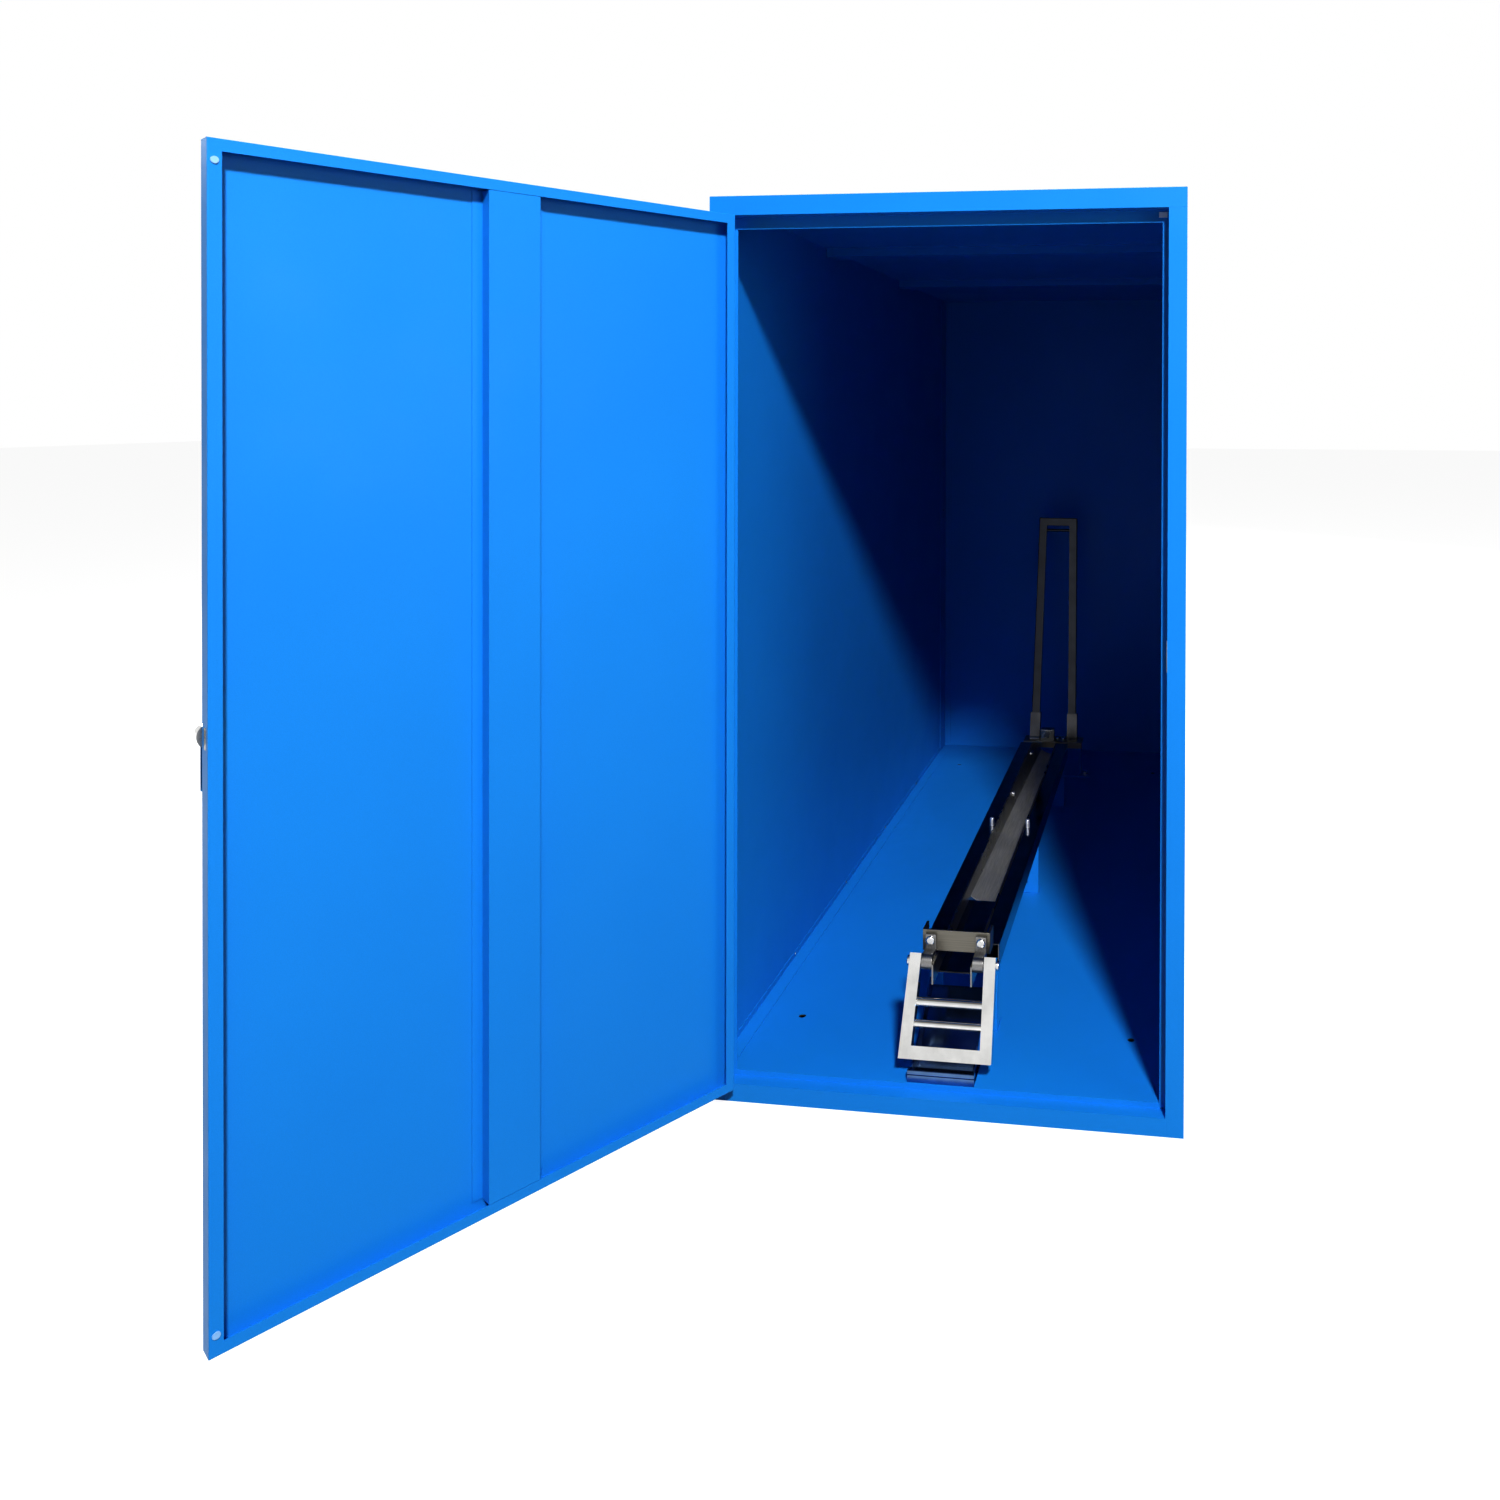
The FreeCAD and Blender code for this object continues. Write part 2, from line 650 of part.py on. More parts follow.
def rail_foot():
    """The front foot at the sill: an upright plate with a bar along its top."""
    half = foot_width / 2
    plate = block(-half, half, foot_front, foot_front + trestle_thick, floor_level,
                  floor_level + foot_plate_tall)
    bar = block(-half, half, foot_front, foot_front + foot_bar[0],
                floor_level + foot_plate_tall, floor_level + foot_plate_tall + foot_bar[1])
    sole = block(-half, half, foot_front, foot_front + foot_sole, floor_level, floor_level + 3)
    rounded = bar.makeFillet(1.8, [e for e in bar.Edges if e.Length > foot_width - 1])
    foot = joined(plate, rounded, sole)
    for side in (-1, 1):
        foot = foot.cut(rod(side * floor_bolt_spacing / 2, foot_front + foot_bolt_at,
                            floor_level - 1, Z_AXIS, bolt_shank_radius, 20))
    return foot.translate(V(foot_offset, 0, 0))


def front_brace():
    """A channel that rises from the foot to the front of the guide rails."""
    y0, z0 = brace_start
    y1, z1 = brace_end
    length = math.hypot(y1 - y0, z1 - z0)
    run = (y1 - y0) / length
    rise = (z1 - z0) / length
    drop = V(0, rise * brace_flange, -run * brace_flange)
    half = brace_width / 2
    low = V(-half, y0, z0)
    high = V(-half, y1, z1)
    flange = prism([low, high, high + drop, low + drop], V(brace_wall, 0, 0))
    in_web = drop * ((brace_flange - brace_wall) / brace_flange)
    web = prism([low + in_web, high + in_web, high + drop, low + drop], V(brace_width, 0, 0))
    channel = joined(flange, mirrored(flange), web)
    keep = block(-half - 1, half + 1, foot_front + foot_bar[0] + 0.5, rail_front,
                 floor_level + 3, rail_top)
    return channel.common(keep).translate(V(foot_offset, 0, 0))


def guide_studs():
    """Two upright studs on the guide rails that keep a tyre to the middle."""
    at = stud_share * rail_length
    studs = []
    for side in (-1, 1):
        stud = rod(side * (rail_inner + stud_radius), at, 0, Z_AXIS, stud_radius, stud_tall)
        top = [e for e in stud.Edges if abs(e.CenterOfMass.z - stud_tall) < 0.01]
        studs.append(stud.makeFillet(2.0, top[:1]))
    return Part.makeCompound(studs)


def floor_bolts():
    """The bolts that hold the trestles, the foot and the hoop's stand to the floor pan."""
    bolts = []
    for side in (-1, 1):
        x = side * floor_bolt_spacing / 2
        for along in trestles_at:
            bolts.append(hex_bolt(x, rail_front + along + 28, floor_level + trestle_thick, Z_AXIS,
                                  trestle_thick))
        bolts.append(hex_bolt(foot_offset + x, foot_front + foot_bolt_at, floor_level + 3, Z_AXIS, 3))
        bolts.append(hex_bolt(side * (hoop_stand_base - 13), hoop_y, floor_level + trestle_thick,
                              Z_AXIS, trestle_thick))
    return Part.makeCompound(bolts)


# ---- carriage, drawn along the rail ---------------------------------------------------------
def slide_bar():
    """The left side plate of the carriage: a bar along the rails that widens to carry the tray."""
    front = pivot_on_rail()[0] - bracket_eye_radius
    low = bar_proud - bar_tall
    back_edge = -tray_drop - (tray_end - tray_start) * tray_fall
    outline = [(front, bar_proud), (rail_length - 5, bar_proud), (tray_end, back_edge + tray_rim),
               (tray_end, back_edge - bar_below), (tray_start - 20, -tray_drop - bar_below),
               (tray_start - 60, low), (front, low)]
    bar = prism([V(-bar_outer, y, z) for y, z in outline], V(bar_thick, 0, 0))
    for at in rollers_at:
        bar = bar.cut(rod(-bar_outer - 1, at, -axle_depth, X_AXIS, axle_radius, bar_thick + 2))
    return bar


def on_tray(shape):
    """Slopes a piece drawn along the tray, from its front edge, and places it between the bars."""
    turned = shape.copy().rotate(V(0, 0, 0), X_AXIS, -tray_slope)
    return on_rail(turned.translate(V(0, tray_start, -tray_drop)))


def wheel_tray():
    """The concave channel for the tyres, between the bars."""
    half = bar_inner
    start = V(-half, 0, 0)
    end = V(half, 0, 0)
    bottom = V(0, 0, -tray_depth)
    down = V(0, 0, -tray_wall)
    upper = Part.Arc(start, bottom, end).toShape()
    lower = Part.Arc(end + down, bottom + down, start + down).toShape()
    sides = [Part.makeLine(end, end + down), Part.makeLine(start + down, start)]
    face = Part.Face(Part.Wire([upper, sides[0], lower, sides[1]]))
    return face.extrude(V(0, (tray_end - tray_start) / math.cos(math.radians(tray_slope)), 0))


def carriage_ties():
    """Flat ties between the bars under the tray."""
    top = -tray_depth - tray_wall - tie_gap
    ties = []
    for share in tie_shares:
        at = share * (tray_end - tray_start)
        ties.append(block(-bar_inner, bar_inner, at, at + tie_width, top - tie_thick, top))
    return Part.makeCompound(ties)


def channel_floor():
    """The flat bottom between the bars, in front of the tray."""
    low = bar_proud - bar_tall
    return block(-bar_inner, bar_inner, -plate_back, tray_start - 20, low, low + tie_thick)


def cross_plate():
    """The upright plate behind the handle, with a flange back along each side."""
    half = plate_width / 2
    front = -plate_back - plate_thick
    top = plate_rise + plate_tall
    plate = block(-half, half, front, -plate_back, plate_rise, top)
    flange = block(-half, -half + plate_thick, front, front + plate_return, plate_rise, top)
    return joined(plate, flange, mirrored(flange))


def plate_bolts():
    """Domed bolts that hold the cross plate to the handle's brackets."""
    front = -plate_back - plate_thick - bracket_tab_thick
    z = plate_rise + plate_bolt_rise
    x = bar_outer + bracket_width / 2
    bolts = []
    for side in (-1, 1):
        head = rod(side * x, front - 5, z, Y_AXIS, plate_bolt_radius, 5)
        rim = [e for e in head.Edges if abs(e.CenterOfMass.y - front + 5) < 0.01]
        bolts.append(head.makeFillet(3.5, rim[:1]))
    return Part.makeCompound(bolts)


def handle_bracket():
    """The left bracket: an eye round the pivot, joined to the slide bar and the cross plate."""
    x0 = -bar_outer - bracket_width
    y1 = -plate_back - plate_thick
    y, z = pivot_on_rail()
    r = bracket_eye_radius
    eye = rod(x0, y, z, X_AXIS, r, bracket_width)
    neck = block(x0, -bar_outer, y, y1, z - r, z + r)
    tab = block(x0, -bar_outer, y1 - bracket_tab_thick, y1, z, plate_rise + bracket_tab_tall)
    return joined(eye, neck, tab)


def pivot_on_rail():
    """The handle's pivot measured from the rails' front top: y and z."""
    return (-handle_pivot_ahead, handle_pivot_rise)


def pivot_bolt():
    """The left pivot bolt: through the handle's leg into the bracket."""
    y, z = pivot_on_rail()
    outer = leg_outside(0) + handle_side_play
    inner = bar_outer + bracket_width / 2
    shank = rod(-outer, y, z, X_AXIS, axle_radius, outer - inner)
    head = rod(-outer - 4, y, z, X_AXIS, bolt_head_radius, 4)
    rim = [e for e in head.Edges if abs(e.CenterOfMass.x + outer + 4) < 0.01]
    return joined(shank, head.makeFillet(1.5, rim[:1]))


def pivot_bore():
    y, z = pivot_on_rail()
    outer = leg_outside(0)
    inner = bar_outer + bracket_width / 2
    return rod(-outer, y, z, X_AXIS, axle_radius, outer - inner)


def axle_pins():
    """Bolts that carry the four rollers."""
    pins = []
    tip = rail_outer_width / 2 - rail_wall - 1.5
    for at in rollers_at:
        for side in (-1, 1):
            pin = rod(side * bar_inner, at, -axle_depth, V(side, 0, 0), axle_radius, tip - bar_inner)
            head = rod(side * bar_inner, at, -axle_depth, V(-side, 0, 0), 8, 3)
            pins.append(joined(pin, head))
    return Part.makeCompound(pins)


def roller(side, at):
    start = bar_outer + 4
    wheel = rod(side * start, at, -axle_depth, V(side, 0, 0), roller_radius, roller_width)
    rims = [e for e in wheel.Edges if e.Closed]
    wheel = wheel.makeFillet(1.5, rims)
    return wheel.cut(rod(side * (start - 1), at, -axle_depth, V(side, 0, 0),
                         axle_radius + running_clearance, roller_width + 2))


# ---- wheel hoop -----------------------------------------------------------------------------
def hoop_plate():
    """The plate the hoop stands on, with a flange along its front."""
    half = hoop_width_bottom / 2 + hoop_plate_overhang
    y0 = hoop_y - hoop_plate_long / 2
    plate = block(-half, half, y0, y0 + hoop_plate_long, hoop_foot - hoop_plate_thick, hoop_foot)
    flange = block(-half, half, y0, y0 + hoop_plate_thick, hoop_base, hoop_foot)
    plate = joined(plate, flange)
    for x in hoop_bolts_at:
        plate = plate.cut(rod(x, hoop_y, hoop_base, Z_AXIS, 2.0, 30))
    return plate


def hoop_stand():
    """Two cheeks on a floor plate that carry the hoop's plate."""
    cheek_out = hoop_width_bottom / 2 + hoop_plate_overhang - 3
    y0 = hoop_y - hoop_plate_long / 2 + hoop_plate_thick
    y1 = hoop_y + hoop_plate_long / 2
    stand = block(-hoop_stand_base, hoop_stand_base, y0, y1, floor_level, floor_level + trestle_thick)
    cheek = block(cheek_out - trestle_thick, cheek_out, y0, y1, floor_level,
                  hoop_foot - hoop_plate_thick)
    stand = joined(stand, cheek, mirrored(cheek))
    for side in (-1, 1):
        stand = stand.cut(rod(side * (hoop_stand_base - 13), hoop_y, floor_level - 1, Z_AXIS,
                              bolt_shank_radius, 20))
    return stand


def lean_back(shape):
    """Stands a piece drawn upright at the origin on the hoop's foot, leaning back."""
    turned = shape.copy().rotate(V(0, 0, 0), X_AXIS, -hoop_lean)
    return turned.translate(V(0, hoop_y, hoop_base))


def hoop_inside(rise):
    """Half the clear width between the hoop's legs at a height along them."""
    return (hoop_width_bottom - hoop_taper * rise / hoop_height) / 2 - hoop_tube


def wheel_hoop():
    """The tall hoop for the front wheel: a tapered U of square tube, closed at the top."""
    tube = u_tube(hoop_width_bottom, hoop_width_top, hoop_height, hoop_tube, tube_wall)
    rise = hoop_height - hoop_rod_below
    seat = hoop_inside(rise) + tube_wall
    for side in (-1, 1):
        tube = tube.cut(rod(side * seat, 0, rise, V(-side, 0, 0), hoop_rod_radius, 2 * tube_wall))
    below = block(-200, 200, hoop_y - 100, hoop_y + 100, 0, hoop_foot)
    return lean_back(tube).cut(below)


def hoop_cross_rod():
    """A thin rod across the hoop under its top, let into the inner walls of the legs."""
    rise = hoop_height - hoop_rod_below
    half = hoop_inside(rise) + tube_wall
    return lean_back(rod(-half, 0, rise, X_AXIS, hoop_rod_radius, 2 * half))


def hoop_socket():
    """The left socket round the foot of the hoop's post."""
    slant = hoop_taper / 2 / hoop_height
    middle = -hoop_width_bottom / 2 + hoop_tube / 2
    inner = hoop_tube / 2
    outer = inner + socket_wall
    body = block(-outer, outer, -outer, outer, 0, socket_tall)
    body = body.cut(block(-inner, inner, -inner, inner, -1, socket_tall + 1))
    body = body.rotate(V(0, 0, 0), Y_AXIS, math.degrees(math.atan(slant)))
    leaning = lean_back(body.translate(V(middle, 0, 0)))
    trim = block(-300, 300, hoop_y - 60, hoop_y + 60, hoop_foot, hoop_foot + 300)
    y = hoop_y + hoop_plate_tall * math.tan(math.radians(hoop_lean))
    skirt = block(middle - outer, middle + outer, y - outer, y + outer, hoop_foot, hoop_foot + 9)
    well = block(middle - inner - 0.6, middle + inner + 0.8, y - inner - 0.9, y + inner + 2.2,
                 hoop_foot - 1, hoop_foot + 10)
    return joined(leaning.common(trim), skirt.cut(well))


def wheel_stop():
    """A block on the hoop's plate that the tyre comes up against."""
    width, deep, tall = stop_block
    body = block(stop_left, stop_left + width, hoop_y - deep / 2, hoop_y + deep / 2, hoop_foot,
                 hoop_foot + tall)
    top = [e for e in body.Edges if abs(e.CenterOfMass.z - hoop_foot - tall) < 0.01]
    return body.makeFillet(4, top)


def hoop_bolts():
    bolts = []
    for x in hoop_bolts_at:
        head = rod(x, hoop_y, hoop_foot, Z_AXIS, 6, 5)
        rim = [e for e in head.Edges if abs(e.CenterOfMass.z - hoop_foot - 5) < 0.01]
        shank = rod(x, hoop_y, hoop_foot - hoop_plate_thick, Z_AXIS, 2.0, hoop_plate_thick)
        bolts.append(joined(head.makeFillet(1.5, rim[:1]), shank))
    return Part.makeCompound(bolts)


# ---- handle, drawn hanging straight down from its pivot at the origin -----------------------
def place_handle(shape):
    """Leans a piece of the handle forward and hangs it from the pivot."""
    turned = shape.copy().rotate(V(0, 0, 0), X_AXIS, -handle_lean)
    return turned.translate(pivot)


def leg_outside(distance):
    """Half the handle's width at a distance below its pivot."""
    share = (distance + handle_end) / handle_length
    return (handle_top_width + handle_flare * share) / 2


def handle_frame():
    tube = u_tube(handle_top_width, handle_grip_width, handle_length, handle_tube, tube_wall)
    tube = tube.rotate(V(0, 0, 0), Y_AXIS, 180).translate(V(0, 0, handle_end))
    bore = rod(-handle_grip_width, 0, 0, X_AXIS, axle_radius + running_clearance, 2 * handle_grip_width)
    tube = tube.cut(bore)
    for distance, radius in zip(rungs_at, rung_radii):
        seat = leg_outside(distance) - handle_tube + tube_wall
        for side in (-1, 1):
            tube = tube.cut(rod(side * seat, 0, -distance, V(-side, 0, 0), radius, 2 * tube_wall))
    return tube


def handle_rung(number):
    """A round rung, let into the inner wall of each leg."""
    half = leg_outside(rungs_at[number]) - handle_tube + tube_wall
    return rod(-half, 0, -rungs_at[number], X_AXIS, rung_radii[number], 2 * half)


# ---- build ----------------------------------------------------------------------------------
def build_cabinet():
    save("left_side_panel", side_panel())
    save("right_side_panel", mirrored(side_panel()))
    save("back_panel", back_panel())
    save("roof_cap", roof_cap())
    save("left_jamb", left_jamb())
    save("right_jamb", right_jamb())
    save("header_rail", header_rail())
    save("sill", sill())
    save("floor_pan", floor_pan())
    runners = [floor_runner(x, x != 0) for x in (-runner_offset, 0, runner_offset)]
    save("floor_runners", Part.makeCompound(runners))
    save("floor_angles", pair(floor_angle()))
    save("rear_angles", pair(rear_angle()))
    save("roof_bows", Part.makeCompound([roof_bow(y) for y in roof_bows_at]))
    save("panel_rivets", panel_rivets())
    save("header_buffer", header_buffer())
    save("strike_plate", strike_plate())


def build_door():
    frame_leaves = [frame_leaf(z) for z in hinge_heights]
    door_leaves = [door_leaf(z) for z in hinge_heights]
    save("hinge_frame_leaves", Part.makeCompound(frame_leaves))
    save("hinge_door_leaves", on_door(Part.makeCompound(door_leaves)))
    save("hinge_pins", Part.makeCompound([hinge_pin(z) for z in hinge_heights]))
    save("door_panel", on_door(door_panel()))
    save("door_stiffener", on_door(door_stiffener()))
    save("door_buffers", on_door(door_buffers()))
    save("lock_case", on_door(lock_case()))
    save("lock_bolt", on_door(lock_bolt()))
    save("lock_escutcheon", on_door(lock_escutcheon()))
    save("lock_handle", on_door(lock_handle()))
    save("lock_plug", on_door(lock_plug()))


def build_rail_base():
    save("left_guide_rail", on_rail(guide_rail()))
    save("right_guide_rail", on_rail(mirrored(guide_rail())))
    for name, along in zip(("front", "middle", "rear"), trestles_at):
        save(name + "_trestle", trestle(along))
    save("rail_foot", rail_foot())
    save("front_brace", front_brace())
    save("guide_studs", on_rail(guide_studs()))
    save("floor_bolts", floor_bolts())


def build_hoop():
    save("hoop_stand", hoop_stand())
    save("hoop_plate", hoop_plate())
    save("wheel_hoop", wheel_hoop())
    save("hoop_cross_rod", hoop_cross_rod())
    save("hoop_sockets", pair(hoop_socket()))
    save("wheel_stop", wheel_stop())
    save("hoop_bolts", hoop_bolts())


def build_carriage():
    save("left_slide_bar", on_rail(slide_bar()))
    save("right_slide_bar", on_rail(mirrored(slide_bar())))
    save("wheel_tray", on_tray(wheel_tray()))
    save("carriage_ties", on_tray(carriage_ties()))
    save("channel_floor", on_rail(channel_floor()))
    save("cross_plate", on_rail(cross_plate()))
    save("plate_bolts", on_rail(plate_bolts()))
    bracket = handle_bracket().cut(pivot_bore())
    save("left_handle_bracket", on_rail(bracket))
    save("right_handle_bracket", on_rail(mirrored(bracket)))
    save("pivot_bolts", on_rail(pair(pivot_bolt())))
    save("axle_pins", on_rail(axle_pins()))
    for name, at in zip(roller_names, rollers_at):
        for side_name, side in (("left", -1), ("right", 1)):
            save(f"{name}_{side_name}_roller", on_rail(roller(side, at)))
    save("handle_frame", place_handle(handle_frame()))
    rungs = [handle_rung(number) for number in range(len(rungs_at))]
    save("handle_rungs", place_handle(Part.makeCompound(rungs)))


os.makedirs("parts", exist_ok=True)
build_cabinet()
build_door()
build_rail_base()
build_hoop()
build_carriage()
print("hinge axis", hinge_point.x, hinge_point.y - cabinet_depth / 2)
print("handle pivot", pivot.y - cabinet_depth / 2, pivot.z)
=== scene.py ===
"""Bicycle locker with its door open: looks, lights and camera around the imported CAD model.

Metres, in the frame of the CAD model: +X right, +Y into the locker, +Z up, the floor at z = 0.
"""

import json
import math

import bmesh
import bpy
from mathutils import Matrix, Vector


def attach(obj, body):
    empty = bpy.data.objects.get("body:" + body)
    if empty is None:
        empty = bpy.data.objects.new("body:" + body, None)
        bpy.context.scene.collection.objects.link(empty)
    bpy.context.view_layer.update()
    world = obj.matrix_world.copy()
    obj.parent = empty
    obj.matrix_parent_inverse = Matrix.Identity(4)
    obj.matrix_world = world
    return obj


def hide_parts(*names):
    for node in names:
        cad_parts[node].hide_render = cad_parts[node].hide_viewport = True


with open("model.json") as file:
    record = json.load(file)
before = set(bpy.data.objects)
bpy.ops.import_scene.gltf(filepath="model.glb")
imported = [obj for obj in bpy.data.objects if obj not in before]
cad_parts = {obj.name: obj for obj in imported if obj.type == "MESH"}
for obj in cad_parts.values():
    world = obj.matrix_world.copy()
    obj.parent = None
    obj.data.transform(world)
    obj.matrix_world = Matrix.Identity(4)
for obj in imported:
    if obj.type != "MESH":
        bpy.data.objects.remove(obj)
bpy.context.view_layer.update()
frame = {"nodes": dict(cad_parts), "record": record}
NODES = frame["nodes"]
BODY_OF = {node: body for body, nodes in frame["record"]["behaviour"]["bodies"].items() for node in nodes}
SCENE = bpy.context.scene


# ---- node helpers ---------------------------------------------------------------------------
class Shader:
    """A new material and short ways to add and link its nodes."""

    def __init__(self, name):
        self.material = bpy.data.materials.new(name)
        self.material.use_nodes = True
        self.tree = self.material.node_tree
        self.bsdf = self.tree.nodes["Principled BSDF"]
        self.place = self.node("ShaderNodeTexCoord").outputs["Object"]

    def node(self, kind, **values):
        made = self.tree.nodes.new(kind)
        for key, value in values.items():
            setattr(made, key, value)
        return made

    def link(self, source, target):
        self.tree.links.new(source, target)

    def set(self, **values):
        for key, value in values.items():
            self.bsdf.inputs[key.replace("_", " ")].default_value = value

    def noise(self, scale, detail=3.0, stretch=None):
        """Noise in real size: scale is waves per metre, stretch draws it out along an axis."""
        source = self.place
        if stretch:
            mapping = self.node("ShaderNodeMapping")
            mapping.inputs["Scale"].default_value = stretch
            self.link(source, mapping.inputs["Vector"])
            source = mapping.outputs["Vector"]
        made = self.node("ShaderNodeTexNoise")
        made.inputs["Scale"].default_value = scale
        made.inputs["Detail"].default_value = detail
        self.link(source, made.inputs["Vector"])
        return made.outputs["Fac"]

    def ramp(self, fac, stops):
        """Maps a value through (position, colour) stops."""
        made = self.node("ShaderNodeValToRGB")
        elements = made.color_ramp.elements
        while len(elements) < len(stops):
            elements.new(0.5)
        for element, (position, colour) in zip(elements, stops):
            element.position = position
            element.color = (*colour, 1.0)
        self.link(fac, made.inputs["Fac"])
        return made.outputs["Color"]

    def spread(self, fac, low, high):
        """Maps 0..1 to low..high."""
        made = self.node("ShaderNodeMapRange")
        made.inputs["From Min"].default_value = 0.3
        made.inputs["From Max"].default_value = 0.7
        made.inputs["To Min"].default_value = low
        made.inputs["To Max"].default_value = high
        self.link(fac, made.inputs["Value"])
        return made.outputs["Result"]

    def bump(self, height, distance, strength=1.0, normal=None):
        made = self.node("ShaderNodeBump")
        made.inputs["Distance"].default_value = distance
        made.inputs["Strength"].default_value = strength
        self.link(height, made.inputs["Height"])
        if normal:
            self.link(normal, made.inputs["Normal"])
        return made.outputs["Normal"]


def powder_coat(name, light, dark, rough=0.40):
    """Powder coat on sheet steel: orange peel, faint clouding and an uneven sheen."""
    made = Shader(name)
    clouds = made.noise(1.6, 4.0)
    colour = made.ramp(clouds, [(0.32, dark), (0.68, light)])
    fine = made.noise(950.0, 2.0)
    speck = made.ramp(fine, [(0.30, (0.93, 0.93, 0.93)), (0.70, (1.0, 1.0, 1.0))])
    tint = made.node("ShaderNodeMix", data_type="RGBA", blend_type="MULTIPLY")
    tint.inputs["Factor"].default_value = 1.0
    made.link(colour, tint.inputs["A"])
    made.link(speck, tint.inputs["B"])
    made.link(tint.outputs["Result"], made.bsdf.inputs["Base Color"])
    made.link(made.spread(made.noise(7.0, 5.0), rough - 0.05, rough + 0.06), made.bsdf.inputs["Roughness"])
    peel = made.bump(made.noise(520.0, 2.0), 0.00006)
    made.link(made.bump(made.noise(9.0, 1.0), 0.0006, 0.35, peel), made.bsdf.inputs["Normal"])
    made.set(IOR=1.5, Specular_IOR_Level=0.22)
    return made.material


def brushed(name, light, dark, rough, stretch, metallic=1.0):
    """Stainless steel with its grain drawn out along one axis."""
    made = Shader(name)
    grain = made.noise(1.0, 4.0, stretch)
    smudge = made.noise(14.0, 4.0)
    made.link(made.ramp(grain, [(0.30, dark), (0.70, light)]), made.bsdf.inputs["Base Color"])
    made.link(made.spread(smudge, rough - 0.06, rough + 0.08), made.bsdf.inputs["Roughness"])
    made.link(made.bump(grain, 0.00002, 0.5), made.bsdf.inputs["Normal"])
    made.set(Metallic=metallic)
    return made.material


def polished(name, light, dark, rough):
    """Polished steel or chrome with faint smears and fine scratches."""
    made = Shader(name)
    smear = made.noise(22.0, 5.0)
    made.link(made.ramp(smear, [(0.35, dark), (0.65, light)]), made.bsdf.inputs["Base Color"])
    made.link(made.spread(smear, rough, rough + 0.07), made.bsdf.inputs["Roughness"])
    scratch = made.noise(60.0, 6.0, (1.0, 0.12, 9.0))
    waves = made.bump(made.noise(35.0, 1.0), 0.0002, 0.25)
    made.link(made.bump(scratch, 0.00001, 0.4, waves), made.bsdf.inputs["Normal"])
    made.set(Metallic=1.0)
    return made.material


def moulded(name, light, dark, rough):
    """Moulded plastic."""
    made = Shader(name)
    colour = made.ramp(made.noise(60.0, 3.0), [(0.3, dark), (0.7, light)])
    made.link(colour, made.bsdf.inputs["Base Color"])
    made.link(made.spread(made.noise(30.0, 4.0), rough - 0.06, rough + 0.06), made.bsdf.inputs["Roughness"])
    made.link(made.bump(made.noise(700.0, 2.0), 0.00005, 0.5), made.bsdf.inputs["Normal"])
    made.set(IOR=1.5)
    return made.material


LENGTHWISE = (500.0, 8.0, 500.0)
CROSSWISE = (8.0, 500.0, 500.0)
blue = powder_coat("blue_powder_coat", (0.014, 0.275, 0.720), (0.012, 0.255, 0.680))
steel_along_y = brushed("brushed_steel_lengthwise", (0.34, 0.335, 0.33), (0.24, 0.24, 0.24), 0.30,
                        LENGTHWISE)
steel_along_x = brushed("brushed_steel_crosswise", (0.40, 0.40, 0.39), (0.29, 0.29, 0.29), 0.28,
                        CROSSWISE)
plate_steel = brushed("warm_brushed_plate", (0.26, 0.245, 0.21), (0.20, 0.19, 0.165), 0.34, CROSSWISE)
# The foot's blue, dark base colour is painted light: a painted reflection of the blue paint around it, and
# painted shade on its dark faces.
foot_steel_painted_reflection_and_shade = polished("polished_foot_painted_reflection_and_shade", (0.150, 0.260, 0.460), (0.110, 0.190, 0.340), 0.14)
# The hoop's near-black base colour is painted shade: polished steel darkened to the dark look it has deep
# inside the locker.
hoop_steel_painted_shade = polished("polished_hoop_painted_shade", (0.055, 0.058, 0.068), (0.038, 0.040, 0.048), 0.12)
socket_steel = polished("dark_socket", (0.150, 0.150, 0.155), (0.090, 0.090, 0.095), 0.20)
# The rails' dark base colour is painted shade: polished steel darkened to its near-black look in the dark
# locker.
rail_steel_painted_shade = polished("polished_rail_painted_shade", (0.24, 0.25, 0.27), (0.17, 0.18, 0.20), 0.10)
chrome = polished("polished_handle", (0.84, 0.84, 0.83), (0.70, 0.70, 0.69), 0.06)
stud_steel = polished("bright_stud", (0.90, 0.90, 0.90), (0.80, 0.80, 0.80), 0.45)
zinc = polished("bright_zinc", (0.72, 0.72, 0.71), (0.58, 0.59, 0.60), 0.22)
tray_steel = brushed("tray_steel", (0.56, 0.55, 0.50), (0.40, 0.40, 0.37), 0.50, LENGTHWISE, 0.75)
runner_paint = powder_coat("dark_runner_coat", (0.045, 0.048, 0.052), (0.030, 0.032, 0.036), 0.55)
nylon = moulded("white_nylon", (0.80, 0.81, 0.80), (0.72, 0.72, 0.71), 0.42)
clear_plastic = moulded("milky_buffer", (0.30, 0.52, 0.80), (0.24, 0.44, 0.72), 0.35)
brass = polished("plain_brass", (0.72, 0.55, 0.28), (0.58, 0.42, 0.20), 0.24)

